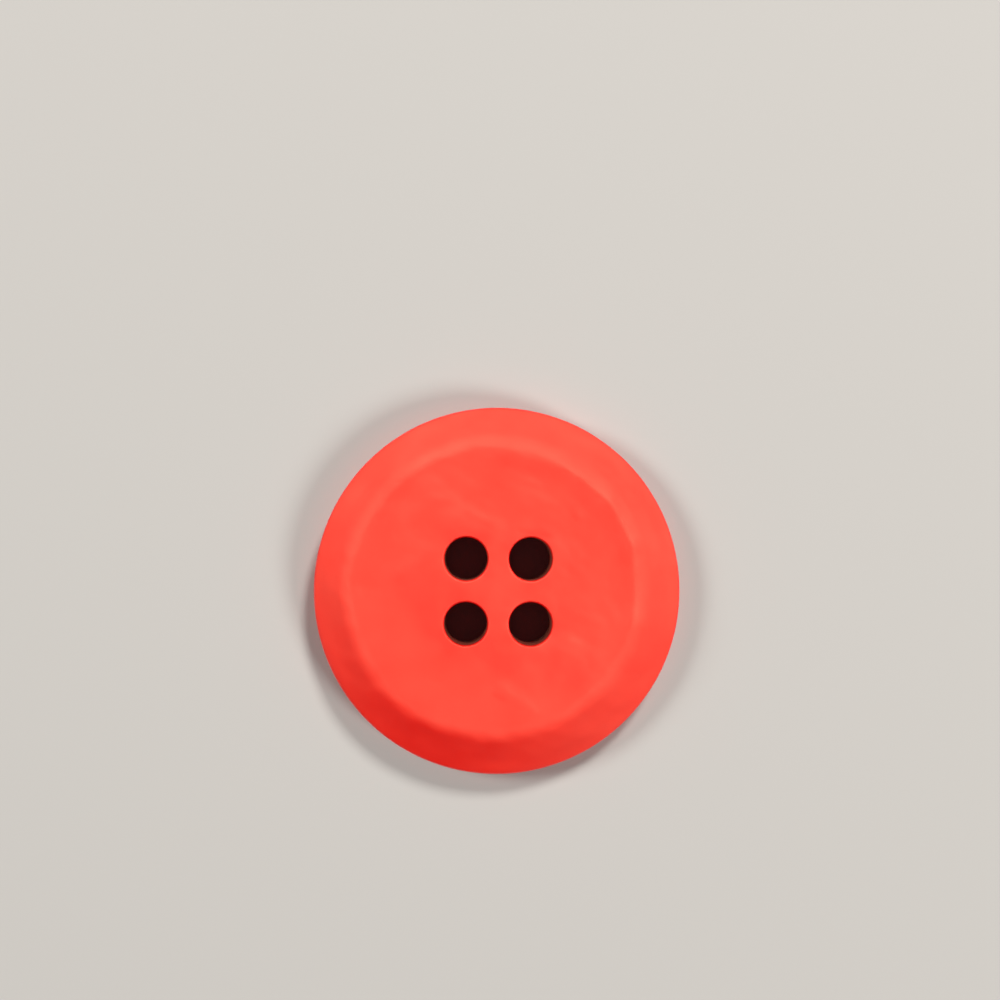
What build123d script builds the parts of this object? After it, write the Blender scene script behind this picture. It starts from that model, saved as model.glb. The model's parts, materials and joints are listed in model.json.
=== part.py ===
from build123d import *
import os
from math import radians, tan

# A round sewing button with four holes, moulded in one piece.
# The origin is the centre of its flat back, which lies on z = 0, and +Z runs up its axis to the face.

# Outline, in millimetres and degrees
rim_diameter = 25.0
side_height = 1.77  # from the back up to the corner where the bevel starts
bevel_width = 2.65  # from the side in to the crest, measured square to the axis
bevel_angle = 28.0  # how steeply the bevel rises from the side to the crest
dish_depth = 0.08  # how far the middle of the face lies below the crest

# Roundings, in millimetres
crest_rounding = 2.2  # between the face and the bevel
rim_rounding = 0.3  # between the bevel and the side
back_rounding = 0.7  # between the side and the back
lip_rounding = 0.15  # round both ends of each hole

# Thread holes, on a square grid centred on the axis, in millimetres
hole_diameter = 2.9
hole_spacing = 4.34
holes_each_way = 2

# Corners of the half section, as distance from the axis and height
rim = rim_diameter / 2
crest = rim - bevel_width
crest_height = side_height + bevel_width * tan(radians(bevel_angle))
face_middle = (0, crest_height - dish_depth)
crest_corner = (crest, crest_height)
shoulder_corner = (rim, side_height)
back_corner = (rim, 0)
back_middle = (0, 0)


def rounded(section, corner, rounding):
    """The section with its corner at this place rounded."""
    nearest = section.vertices().sort_by_distance(corner)[0]
    return fillet(nearest, rounding)


def half_section():
    """Half of the section through the axis: a dished face, a straight bevel, an upright side and a flat back."""
    dish_radius = (crest**2 + dish_depth**2) / (2 * dish_depth)
    face = RadiusArc(crest_corner, face_middle, dish_radius)
    bevel_side_back = Polyline(crest_corner, shoulder_corner, back_corner, back_middle)
    axis = Line(back_middle, face_middle)
    section = make_face([face, bevel_side_back, axis])
    section = rounded(section, crest_corner, crest_rounding)
    section = rounded(section, shoulder_corner, rim_rounding)
    return rounded(section, back_corner, back_rounding)


def drilled(blank):
    """The blank with its thread holes, from the back to the face."""
    hole = Cylinder(hole_diameter / 2, crest_height, align=(Align.CENTER, Align.CENTER, Align.MIN))
    for place in GridLocations(hole_spacing, hole_spacing, holes_each_way, holes_each_way):
        blank -= place * hole
    return blank


def lipped(drilled_blank):
    """The drilled blank with the lips of its holes rounded, on the face and on the back."""
    walls = drilled_blank.faces().filter_by(GeomType.CYLINDER)
    hole_walls = [wall for wall in walls if wall.radius < rim]
    lips = [edge for wall in hole_walls for edge in wall.edges().filter_by(GeomType.LINE, reverse=True)]
    return fillet(lips, lip_rounding)


blank = revolve(Plane.XZ * half_section(), Axis.Z)
button = lipped(drilled(blank))

os.makedirs("parts", exist_ok=True)
export_step(button, "parts/button.step")
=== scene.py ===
import json
from math import cos, pi, radians, sin, tan

import bmesh
import bpy
import numpy as np
from mathutils import Matrix, Quaternion, Vector, noise


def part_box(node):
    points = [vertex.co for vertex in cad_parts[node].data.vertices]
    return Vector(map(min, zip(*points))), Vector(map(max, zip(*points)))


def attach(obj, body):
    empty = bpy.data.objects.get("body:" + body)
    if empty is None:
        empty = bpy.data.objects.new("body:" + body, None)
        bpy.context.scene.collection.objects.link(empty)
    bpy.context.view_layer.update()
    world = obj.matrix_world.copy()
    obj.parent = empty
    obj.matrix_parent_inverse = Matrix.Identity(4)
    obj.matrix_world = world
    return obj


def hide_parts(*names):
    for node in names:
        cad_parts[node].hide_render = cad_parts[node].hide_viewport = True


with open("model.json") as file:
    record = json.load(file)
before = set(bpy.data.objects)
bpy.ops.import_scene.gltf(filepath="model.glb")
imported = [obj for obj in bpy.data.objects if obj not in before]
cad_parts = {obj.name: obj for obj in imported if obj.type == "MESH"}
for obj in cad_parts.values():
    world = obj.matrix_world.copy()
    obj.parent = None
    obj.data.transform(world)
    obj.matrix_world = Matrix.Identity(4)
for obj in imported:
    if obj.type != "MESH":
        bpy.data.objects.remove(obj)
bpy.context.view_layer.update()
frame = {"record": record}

# The dressed button, its floor, lights and camera. In the picture, +X is right and +Y is up.
MM = 0.001

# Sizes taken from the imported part, in metres
mounts = {mount["name"]: mount for mount in frame["record"]["mounts"]}
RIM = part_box("button")[1].x
HOLE_RADIUS = mounts["thread_hole_1"]["dims"]["r_mm"] * MM
HOLE_SPACING = mounts["sewing_holes"]["dims"]["spacing_x_mm"] * MM
HOLE_CENTRES = [mount["pos_m"][:2] for name, mount in mounts.items() if name.startswith("thread_hole")]

# Outline, close to the part's own drawing
SIDE_HEIGHT = 1.63 * MM  # lower than in the drawing, which leaves room for the waves
BEVEL_WIDTH = 2.65 * MM
BEVEL_ANGLE = radians(28)
RIM_ROUNDING = 0.3 * MM
BACK_ROUNDING = 0.7 * MM
LIP_ROUNDING = 0.16 * MM
CREST = RIM - BEVEL_WIDTH
CREST_HEIGHT = SIDE_HEIGHT + BEVEL_WIDTH * tan(BEVEL_ANGLE)

# How the real button departs from its drawing
DISH_DEPTH = 0.07 * MM  # the middle of the face below its edge
DISH_POWER = 6  # how late the face turns up towards the crest
CREST_SOFTNESS = 0.37 * MM  # height difference over which the face and the bevel blend
BEVEL_SHIFT = 0.35 * MM  # how far the bevel was cut off centre
BEVEL_SHIFT_AZIMUTH = radians(127)
BEVEL_UNEVEN = 0.16 * MM  # how far the bevel's radius wanders in and out
BEVEL_LOBES = 3.0  # how often it does so in one radian
BEVEL_PLACE = 2.6  # in the noise

# Mesh density
POINTS_PER_SIDE = 48  # of each hole's square cell
FACE_STEPS = 76
CELL_STEPS = 12
ROUNDING_STEPS = 8
WALL_STEPS = 10
BACK_STEPS = 10

# Soft waves over the whole face, in metres; the long ones run from upper left to lower right
WAVE_AZIMUTH = radians(-27)
WAVES = (  # length along the waves, length across them, height, place in the noise
    (6.0 * MM, 3.5 * MM, 0.094 * MM, 11.3),
    (2.3 * MM, 1.8 * MM, 0.050 * MM, 4.7),
    (1.0 * MM, 0.7 * MM, 0.016 * MM, 8.1),
)
WAVE_FADE = (0.90, 0.975)  # shares of the rim radius between which the waves die away

# Ridges and furrows that stand out, in millimetres from the axis
SWELLS = (  # start x, y; end x, y; half width; height
    (-4.8, 1.2, 0.6, -2.4, 2.00, 0.200),
    (1.4, -3.4, 6.2, -4.6, 1.20, 0.120),
    (-4.6, 5.6, -0.8, 4.0, 1.50, 0.085),
    (-2.6, -5.4, 0.1, -6.5, 0.75, 0.075),
    (0.1, -6.5, 2.3, -7.8, 0.65, 0.066),
    (-2.0, -6.9, 0.5, -7.4, 0.22, -0.011),
    (0.9, -7.6, 2.3, -8.5, 0.24, -0.009),
    (9.1, -2.0, 9.0, 3.0, 0.60, 0.066),
    (9.0, 3.0, 7.4, 6.0, 0.60, 0.082),
    (7.4, 6.0, 4.6, 8.1, 0.60, 0.082),
    (4.6, 8.1, 0.8, 9.2, 0.60, 0.072),
    (2.0, 7.4, 2.5, 7.2, 0.30, 0.020),
    (5.2, 5.2, 5.4, 5.1, 0.25, 0.018),
    (4.8, -3.1, 5.1, -3.3, 0.40, 0.018),
    (5.7, -5.2, 6.1, -5.5, 0.40, 0.018),
    (-6.3, -5.2, -5.7, -5.4, 0.30, -0.022),
    (-4.5, -5.8, -4.0, -6.0, 0.30, -0.018),
    (-6.4, 0.4, -6.0, 0.3, 0.35, -0.022),
    (-8.1, 4.8, -7.8, 4.8, 0.35, -0.022),
    (-7.1, 6.1, -6.6, 6.0, 0.35, -0.018),
    (1.4, 4.0, 3.2, 3.6, 0.25, -0.018),
)

# Bands of deeper red on the face, in the same way. They are painted shade, standing in for slopes that turn
# away from the light.
SHADE_BANDS = (  # start x, y; end x, y; half width; strength
    (-6.6, 1.0, -3.6, -2.0, 1.10, 0.90),
    (-3.4, -2.6, 0.4, -4.7, 0.95, 0.85),
    (0.8, -4.7, 6.0, -5.8, 1.10, 1.00),
    (5.2, 7.2, 8.4, 2.4, 0.60, 0.40),
    (0.4, 8.6, 3.6, 8.0, 0.60, 0.50),
)
DEEP_AND_SHADE_MARK = "deeper_red_and_painted_shade"  # mesh attribute that tells the material where the red is deeper: in patches round the holes, and as painted shade along the bands
DEEP_REACH = 1.2 * MM  # how far the deeper red spreads from the edges of the holes
DEEP_PATCH = 1.1 * MM  # size of its patches
DEEP_PLACE = 5.2  # in the noise
DEEP_AT_HOLES = (0.7, 1.2)  # mean strength, and how strongly the patches change it
SHADE_IN_BANDS = (0.8, 0.8)  # the same

WALL_MARK = "hole_wall"  # mesh attribute that tells the material where the walls of the holes are, for their painted shade and matt gloss
WALL_FADE = (0.10 * MM, 0.35 * MM)  # depths between which the painted shade of the walls sets in
WALL_SLACK = 1.001  # share of a hole's radius within which a point counts as on its wall
WELD = 0.001 * MM  # distance below which two points of the mesh are one


def smooth_min(first, second, width):
    """The lower of two heights, with their corner rounded where they differ by less than width."""
    share = np.clip(0.5 + 0.5 * (second - first) / width, 0, 1)
    return second + (first - second) * share - width * share * (1 - share)


def smooth_step(value, start, end):
    """0 up to start, 1 from end on, and a smooth rise in between."""
    share = np.clip((value - start) / (end - start), 0, 1)
    return share * share * (3 - 2 * share)


def bevel_height(x, y):
    """Height of the cone that the bevel lies on, cut a little off centre and not quite round."""
    x_off = x - BEVEL_SHIFT * cos(BEVEL_SHIFT_AZIMUTH)
    y_off = y - BEVEL_SHIFT * sin(BEVEL_SHIFT_AZIMUTH)
    radius = np.hypot(x_off, y_off)
    around = zip(x_off / (radius + MM) * BEVEL_LOBES, y_off / (radius + MM) * BEVEL_LOBES)
    uneven = BEVEL_UNEVEN * np.array([noise.noise((a, b, BEVEL_PLACE)) for a, b in around])
    return SIDE_HEIGHT + (RIM + uneven - radius) * tan(BEVEL_ANGLE)


def wave_height(x, y):
    """Soft waves, drawn out along one direction."""
    along = x * cos(WAVE_AZIMUTH) + y * sin(WAVE_AZIMUTH)
    across = y * cos(WAVE_AZIMUTH) - x * sin(WAVE_AZIMUTH)
    total = np.zeros_like(x)
    for long_way, short_way, height, place in WAVES:
        spots = zip(along / long_way, across / short_way)
        total += height * np.array([noise.noise((a, b, place)) for a, b in spots])
    return total


def band_sum(x, y, bands):
    """Sum of these bands at each point, each with round ends and a bell-shaped section."""
    total = np.zeros_like(x)
    for x_start, y_start, x_end, y_end, half_width, height in bands:
        start = np.array([x_start, y_start]) * MM
        run = np.array([x_end, y_end]) * MM - start
        share = np.clip(((x - start[0]) * run[0] + (y - start[1]) * run[1]) / (run @ run), 0, 1)
        away = np.hypot(x - start[0] - share * run[0], y - start[1] - share * run[1])
        total += height * np.exp(-((away / (half_width * MM)) ** 2))
    return total


def top_height(x, y):
    """Height of the button's upper surface, face and bevel together."""
    radius = np.hypot(x, y)
    face = CREST_HEIGHT - DISH_DEPTH * (1 - (radius / CREST) ** DISH_POWER)
    relief = wave_height(x, y) + MM * band_sum(x, y, SWELLS)
    relief *= 1 - smooth_step(radius / RIM, *WAVE_FADE)
    return smooth_min(face, bevel_height(x, y), CREST_SOFTNESS) + relief


def square_loop(centre, half_side, count):
    """Points round a square, count to a side, counterclockwise from its lower left corner."""
    step = np.arange(count) / count * 2 - 1
    edge = np.ones(count)
    x = np.concatenate([step, edge, -step, -edge])
    y = np.concatenate([-edge, step, edge, -step])
    return np.array(centre) + half_side * np.stack([x, y], axis=1)


def circle_loop(centre, angles, radius):
    return np.array(centre) + radius * np.stack([np.cos(angles), np.sin(angles)], axis=1)


def at_height(loop, height):
    """The loop's points with this height, one number or one for each point."""
    return np.column_stack([loop, np.broadcast_to(height, len(loop))])


def on_top(loop):
    return at_height(loop, top_height(loop[:, 0], loop[:, 1]))


def hole_rings(centre):
    """Rings from the edge of a hole's cell on the face, down the hole, to the same edge on the back."""
    cell = square_loop(centre, HOLE_SPACING / 2, POINTS_PER_SIDE)
    out = cell - np.array(centre)
    angles = np.arctan2(out[:, 1], out[:, 0])
    lip = circle_loop(centre, angles, HOLE_RADIUS + LIP_ROUNDING)
    wall = circle_loop(centre, angles, HOLE_RADIUS)
    turns = np.linspace(0, pi / 2, ROUNDING_STEPS)

    face = [on_top(cell + (lip - cell) * share) for share in np.linspace(0, 1, CELL_STEPS)]
    upper_lip = []
    for turn in turns[1:]:
        loop = circle_loop(centre, angles, HOLE_RADIUS + LIP_ROUNDING * (1 - sin(turn)))
        upper_lip.append(on_top(loop) - [0, 0, LIP_ROUNDING * (1 - cos(turn))])
    wall_top = upper_lip[-1][:, 2]
    drops = np.linspace(0, 1, WALL_STEPS)[1:]
    bore = [at_height(wall, wall_top + (LIP_ROUNDING - wall_top) * drop) for drop in drops]
    lower_lip = []
    for turn in turns[1:]:
        loop = circle_loop(centre, angles, HOLE_RADIUS + LIP_ROUNDING * (1 - cos(turn)))
        lower_lip.append(at_height(loop, LIP_ROUNDING * (1 - sin(turn))))
    back = [at_height(lip + (cell - lip) * share, 0) for share in np.linspace(0, 1, CELL_STEPS // 2)[1:]]
    return face + upper_lip + bore + lower_lip + back


def outer_rings():
    """Rings from the edge of the four cells on the face, over the rim, to the same edge on the back."""
    block = square_loop((0, 0), HOLE_SPACING, 2 * POINTS_PER_SIDE)
    angles = radians(-135) + np.arange(len(block)) / len(block) * 2 * pi
    rim_centre = RIM - RIM_ROUNDING
    bevel_edge = circle_loop((0, 0), angles, rim_centre + RIM_ROUNDING * sin(BEVEL_ANGLE))

    top = [on_top(block + (bevel_edge - block) * share) for share in np.linspace(0, 1, FACE_STEPS)]
    rim_level = top[-1][:, 2] - RIM_ROUNDING * cos(BEVEL_ANGLE)
    shoulder = []
    for turn in np.linspace(BEVEL_ANGLE, pi / 2, ROUNDING_STEPS)[1:]:
        loop = circle_loop((0, 0), angles, rim_centre + RIM_ROUNDING * sin(turn))
        shoulder.append(at_height(loop, rim_level + RIM_ROUNDING * cos(turn)))
    rim_loop = circle_loop((0, 0), angles, RIM)
    drops = np.linspace(0, 1, WALL_STEPS // 2)[1:]
    side = [at_height(rim_loop, rim_level + (BACK_ROUNDING - rim_level) * drop) for drop in drops]
    foot = []
    for turn in np.linspace(0, pi / 2, ROUNDING_STEPS)[1:]:
        loop = circle_loop((0, 0), angles, RIM - BACK_ROUNDING * (1 - cos(turn)))
        foot.append(at_height(loop, BACK_ROUNDING * (1 - sin(turn))))
    back_edge = circle_loop((0, 0), angles, RIM - BACK_ROUNDING)
    shares = np.linspace(0, 1, BACK_STEPS)[1:]
    back = [at_height(back_edge + (block - back_edge) * share, 0) for share in shares]
    return top + shoulder + side + foot + back


def nearest_hole(x, y):
    """Distance of each point from the axis of the nearest hole."""
    return np.min([np.hypot(x - centre[0], y - centre[1]) for centre in HOLE_CENTRES], axis=0)


def wall_share(x, y, z):
    """For each point, 1 on the wall of a hole, 0 elsewhere, and in between near both ends of the wall: the
    share of the walls' painted shade and matt gloss.
    """
    depth = np.minimum(z, CREST_HEIGHT - z)
    return (nearest_hole(x, y) < HOLE_RADIUS * WALL_SLACK) * smooth_step(depth, *WALL_FADE)


def deep_and_shade_share(x, y, z):
    """For each point, how deep its red is: in patches, most at the holes, and along the bands as painted
    shade.
    """
    patches = np.array([noise.noise((a, b, DEEP_PLACE)) for a, b in zip(x / DEEP_PATCH, y / DEEP_PATCH)])
    at_holes = np.exp(-(((nearest_hole(x, y) - HOLE_RADIUS) / DEEP_REACH) ** 2))
    at_holes *= DEEP_AT_HOLES[0] + DEEP_AT_HOLES[1] * patches
    shade_in_bands = band_sum(x, y, SHADE_BANDS) * (SHADE_IN_BANDS[0] + SHADE_IN_BANDS[1] * patches)
    return np.clip(at_holes + shade_in_bands * (z > CREST_HEIGHT / 2), 0, 1)


def button_mesh():
    """The whole surface: quads through each hole and over the rim, joined where they meet."""
    points, quads = [], []
    for rings in [outer_rings()] + [hole_rings(centre) for centre in HOLE_CENTRES]:
        start = sum(len(ring) for ring in points)
        count = len(rings[0])
        here = np.arange(count)
        ahead = (here + 1) % count
        for level in range(len(rings) - 1):
            near = start + level * count
            far = near + count
            quads += np.stack([near + here, near + ahead, far + ahead, far + here], axis=1).tolist()
        points += rings
    mesh = bpy.data.meshes.new("button_body")
    mesh.from_pydata(np.concatenate(points).tolist(), [], quads)

    joined = bmesh.new()
    joined.from_mesh(mesh)
    bmesh.ops.remove_doubles(joined, verts=joined.verts, dist=WELD)
    bmesh.ops.recalc_face_normals(joined, faces=joined.faces)
    for face in joined.faces:
        face.smooth = True
    joined.to_mesh(mesh)
    joined.free()

    places = np.zeros(3 * len(mesh.vertices))
    mesh.vertices.foreach_get("co", places)
    x, y, z = places.reshape(-1, 3).T
    for mark, shares in ((WALL_MARK, wall_share(x, y, z)), (DEEP_AND_SHADE_MARK, deep_and_shade_share(x, y, z))):
        mesh.attributes.new(mark, "FLOAT", "POINT").data.foreach_set("value", shares)
    return mesh


def noise_node(nodes, links, coordinates, scale, detail):
    node = nodes.new("ShaderNodeTexNoise")
    node.inputs["Scale"].default_value = scale
    node.inputs["Detail"].default_value = detail
    links.new(coordinates, node.inputs["Vector"])
    return node.outputs["Fac"]


def ramp_node(nodes, links, value, steps):
    """A colour ramp with these steps, each a position and a colour."""
    ramp = nodes.new("ShaderNodeValToRGB")
    elements = ramp.color_ramp.elements
    elements.remove(elements[1])
    for number, (position, colour) in enumerate(steps):
        element = elements.new(position) if number else elements[0]
        element.position = position
        element.color = (*colour, 1)
    links.new(value, ramp.inputs["Fac"])
    return ramp.outputs["Color"]


def dot_node(nodes, links, vector, other):
    node = nodes.new("ShaderNodeVectorMath")
    node.operation = "DOT_PRODUCT"
    node.inputs[1].default_value = other
    links.new(vector, node.inputs[0])
    return node.outputs["Value"]


# The plastic. Noise runs from about 0.3 to 0.7, and its scales are in cycles to the metre.
CLOUD_SCALE = 260
CLOUD_STEPS = ((0.3, (0.91, 0.013, 0.009)), (0.7, (0.95, 0.018, 0.012)))
# Deeper red in patches round the holes, and painted shade in the bands on the face
DEEP_RED_AND_SHADE = (0.88, 0.003, 0.003, 1)
# Painted shade: the walls of the holes are much darker than the plastic, so that the holes look dark
WALL_PAINTED_SHADE = (0.13, 0.004, 0.003, 1)
GLOSS_SCALE = 420
ROUGHNESS = (0.31, 0.40)
GRAIN_SCALE = 9000
GRAIN_STRENGTH = 0.25
GRAIN_HEIGHT = 0.01 * MM


def button_plastic():
    """Red plastic with a satin surface: faint clouds of colour, deeper red round the holes, painted shade
    in bands on the face and on the walls of the holes, uneven gloss and a very fine grain.
    """
    material = bpy.data.materials.new("button_plastic")
    material.use_nodes = True
    nodes, links = material.node_tree.nodes, material.node_tree.links
    shader = nodes["Principled BSDF"]
    shader.inputs["IOR"].default_value = 1.54
    shader.inputs["Specular IOR Level"].default_value = 0.8
    shader.inputs["Subsurface Weight"].default_value = 0.25
    shader.inputs["Subsurface Radius"].default_value = (1.0, 0.12, 0.08)
    shader.inputs["Subsurface Scale"].default_value = 0.6 * MM

    place = nodes.new("ShaderNodeTexCoord").outputs["Object"]

    colour = ramp_node(nodes, links, noise_node(nodes, links, place, CLOUD_SCALE, 3), CLOUD_STEPS)
    # Deeper red round the holes and painted shade in the bands, then painted shade on the walls of the
    # holes
    for mark, darker in ((DEEP_AND_SHADE_MARK, DEEP_RED_AND_SHADE), (WALL_MARK, WALL_PAINTED_SHADE)):
        share = nodes.new("ShaderNodeAttribute")
        share.attribute_name = mark
        mix = nodes.new("ShaderNodeMix")
        mix.data_type = "RGBA"
        mix.inputs[7].default_value = darker
        links.new(share.outputs["Fac"], mix.inputs[0])
        links.new(colour, mix.inputs[6])
        colour = mix.outputs[2]
    links.new(colour, shader.inputs["Base Color"])

    gloss = nodes.new("ShaderNodeMapRange")
    gloss.inputs["From Min"].default_value = 0.3
    gloss.inputs["From Max"].default_value = 0.7
    gloss.inputs["To Min"].default_value = ROUGHNESS[0]
    gloss.inputs["To Max"].default_value = ROUGHNESS[1]
    links.new(noise_node(nodes, links, place, GLOSS_SCALE, 4), gloss.inputs["Value"])
    matt_walls = nodes.new("ShaderNodeMath")  # share is still that of the walls
    matt_walls.operation = "MAXIMUM"
    links.new(gloss.outputs["Result"], matt_walls.inputs[0])
    links.new(share.outputs["Fac"], matt_walls.inputs[1])
    links.new(matt_walls.outputs["Value"], shader.inputs["Roughness"])

    bump = nodes.new("ShaderNodeBump")
    bump.inputs["Strength"].default_value = GRAIN_STRENGTH
    bump.inputs["Distance"].default_value = GRAIN_HEIGHT
    links.new(noise_node(nodes, links, place, GRAIN_SCALE, 2), bump.inputs["Height"])
    links.new(bump.outputs["Normal"], shader.inputs["Normal"])
    return material


def make_button():
    button = bpy.data.objects.new("button_body", button_mesh())
    bpy.context.collection.objects.link(button)
    button.data.materials.append(button_plastic())
    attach(button, "root")
    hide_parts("button")


# The floor, a wide disc, and the pale backdrop beyond it
FLOOR_RADIUS = 0.40
FLOOR_POINTS = 96
FLOOR_COLOUR = (0.58, 0.57, 0.56, 1)
BACKDROP_COLOUR = (0.62, 0.61, 0.60, 1)


def make_floor():
    angles = np.arange(FLOOR_POINTS) / FLOOR_POINTS * 2 * pi
    disc = at_height(circle_loop((0, 0), angles, FLOOR_RADIUS), 0).tolist()
    mesh = bpy.data.meshes.new("floor")
    mesh.from_pydata(disc, [], [list(range(FLOOR_POINTS))])
    material = bpy.data.materials.new("floor")
    material.use_nodes = True
    shader = material.node_tree.nodes["Principled BSDF"]
    shader.inputs["Base Color"].default_value = FLOOR_COLOUR
    shader.inputs["Roughness"].default_value = 1
    shader.inputs["Specular IOR Level"].default_value = 0
    mesh.materials.append(material)
    floor = bpy.data.objects.new("floor", mesh)
    bpy.context.collection.objects.link(floor)


def make_world():
    """The studio: dim and even, but a bright gradient in the gloss and a pale backdrop to the camera."""
    world = bpy.data.worlds.new("studio")
    world.use_nodes = True
    nodes, links = world.node_tree.nodes, world.node_tree.links
    studio = nodes["Background"]
    studio.inputs["Color"].default_value = (1, 1, 1, 1)
    studio.inputs["Strength"].default_value = WORLD_LEVEL

    direction = nodes.new("ShaderNodeTexCoord").outputs["Generated"]
    across = dot_node(nodes, links, direction, toward(SHEEN_AZIMUTH, 0))
    span = nodes.new("ShaderNodeMapRange")
    span.inputs["From Min"].default_value = -1
    links.new(across, span.inputs["Value"])
    steps = [((place + 1) / 2, [share * part for part in SHEEN_COLOUR]) for place, share in SHEEN_ACROSS]
    sheen = nodes.new("ShaderNodeBackground")
    links.new(ramp_node(nodes, links, span.outputs["Result"], steps), sheen.inputs["Color"])
    steps = [(place, [share] * 3) for place, share in SHEEN_UP]
    height = ramp_node(nodes, links, dot_node(nodes, links, direction, (0, 0, 1)), steps)
    level = nodes.new("ShaderNodeMath")
    level.operation = "MULTIPLY"
    level.inputs[1].default_value = SHEEN_LEVEL
    links.new(height, level.inputs[0])
    links.new(level.outputs["Value"], sheen.inputs["Strength"])

    backdrop = nodes.new("ShaderNodeBackground")
    backdrop.inputs["Color"].default_value = BACKDROP_COLOUR
    seen = nodes.new("ShaderNodeLightPath")
    direct_gloss = nodes.new("ShaderNodeMath")  # keeps the sheen out of light that a matt surface passes on
    direct_gloss.operation = "SUBTRACT"
    direct_gloss.use_clamp = True
    links.new(seen.outputs["Is Glossy Ray"], direct_gloss.inputs[0])
    links.new(seen.outputs["Diffuse Depth"], direct_gloss.inputs[1])
    surroundings = studio.outputs["Background"]
    for ray, shown in ((direct_gloss.outputs["Value"], sheen), (seen.outputs["Is Camera Ray"], backdrop)):
        mix = nodes.new("ShaderNodeMixShader")
        links.new(ray, mix.inputs["Fac"])
        links.new(surroundings, mix.inputs[1])
        links.new(shown.outputs["Background"], mix.inputs[2])
        surroundings = mix.outputs["Shader"]
    links.new(surroundings, nodes["World Output"].inputs["Surface"])
    bpy.context.scene.world = world


# Lamps: name, azimuth, elevation, distance, size, share of full light on the face, colour.
# They stand low, so that the floor inside the holes stays dark, and they don't show in the gloss.
LAMPS = (
    ("key", 66, 38, 0.55, 0.13, 0.47, (1.0, 0.96, 0.90)),
    ("fill_left", 164, 33, 0.60, 0.20, 0.32, (1.0, 0.97, 0.92)),
    ("fill_right", -34, 33, 0.60, 0.20, 0.33, (1.0, 0.97, 0.92)),
)
WORLD_LEVEL = 0.03

# What the gloss shows: a soft, warm light that grows from one side of the studio to the other.
# It is brighter than the lamps' plain level and lays a pale veil over the red.
SHEEN_AZIMUTH = 69
SHEEN_LEVEL = 3.9
SHEEN_COLOUR = (1.0, 0.95, 0.60)
SHEEN_ACROSS = (  # place from the dark side at -1 to the bright side at 1; share of the level
    (-1.0, 0.0),
    (-0.85, 0.06),
    (-0.70, 0.28),
    (-0.35, 0.56),
    (-0.12, 0.61),
    (0.12, 0.74),
    (0.41, 0.95),
    (0.83, 0.98),
    (1.0, 1.0),
)
SHEEN_UP = (  # sine of the elevation; share of the level
    (0.0, 0.22),
    (0.3, 0.44),
    (0.56, 0.62),
    (0.78, 0.88),
    (0.85, 1.0),
    (0.93, 1.0),
    (0.975, 0.72),
    (1.0, 0.60),
)


def toward(azimuth, elevation):
    """Unit vector from the button in this direction, in degrees, azimuth counterclockwise from +X."""
    a, e = radians(azimuth), radians(elevation)
    return Vector((cos(a) * cos(e), sin(a) * cos(e), sin(e)))


def make_lamps():
    """Hangs each lamp at its place, facing the button."""
    for name, azimuth, elevation, distance, size, share, colour in LAMPS:
        lamp = bpy.data.lights.new(name, "AREA")
        lamp.shape = "DISK"
        lamp.size = size
        lamp.color = colour
        lamp.energy = share * pi**2 * distance**2 / sin(radians(elevation))
        holder = bpy.data.objects.new(name, lamp)
        direction = toward(azimuth, elevation)
        holder.location = direction * distance
        holder.rotation_euler = direction.to_track_quat("Z", "Y").to_euler()
        holder.visible_glossy = False
        bpy.context.collection.objects.link(holder)


# Camera: the picture is a square of FRAME pixels, and the button's middle lies at BUTTON_PIXEL in it
FRAME = 1000
FOCAL_PIXELS = 1072
BUTTON_PIXEL = (497.8, 590.3)
BUTTON_PIXEL_RADIUS = 182.95
OUTLINE_HEIGHT = 1.5 * MM  # of the edge that makes the outline
LEAN_LEFT = radians(1.5)  # of the sight line, from straight above
LEAN_UP = radians(2.95)  # the same towards the top of the picture
TURN = radians(-0.3)  # of the button in the picture


def facing(back):
    """Rotation of a camera that looks along -back with +Y up in its picture."""
    side = Vector((0, 1, 0)).cross(back).normalized()
    return Matrix((side, back.cross(side), back)).transposed().to_quaternion()


def make_camera():
    camera = bpy.data.cameras.new("camera")
    camera.sensor_width = 36
    camera.lens = FOCAL_PIXELS / FRAME * camera.sensor_width
    camera.clip_start = 0.001
    holder = bpy.data.objects.new("camera", camera)
    bpy.context.collection.objects.link(holder)

    back = Vector((-tan(LEAN_LEFT), tan(LEAN_UP), 1)).normalized()
    middle = FRAME / 2
    ray = Vector((BUTTON_PIXEL[0] - middle, middle - BUTTON_PIXEL[1], -FOCAL_PIXELS)) / FOCAL_PIXELS
    off_axis = facing(-ray.normalized())
    turned = Quaternion(back, -TURN)
    depth = RIM * FOCAL_PIXELS / BUTTON_PIXEL_RADIUS
    holder.rotation_mode = "QUATERNION"
    holder.rotation_quaternion = turned @ facing(back) @ off_axis.inverted()
    holder.location = Vector((0, 0, OUTLINE_HEIGHT)) + back * depth * ray.length
    bpy.context.scene.camera = holder


make_camera()
make_floor()
make_world()
make_lamps()
make_button()
bpy.context.scene.view_settings.view_transform = "Standard"
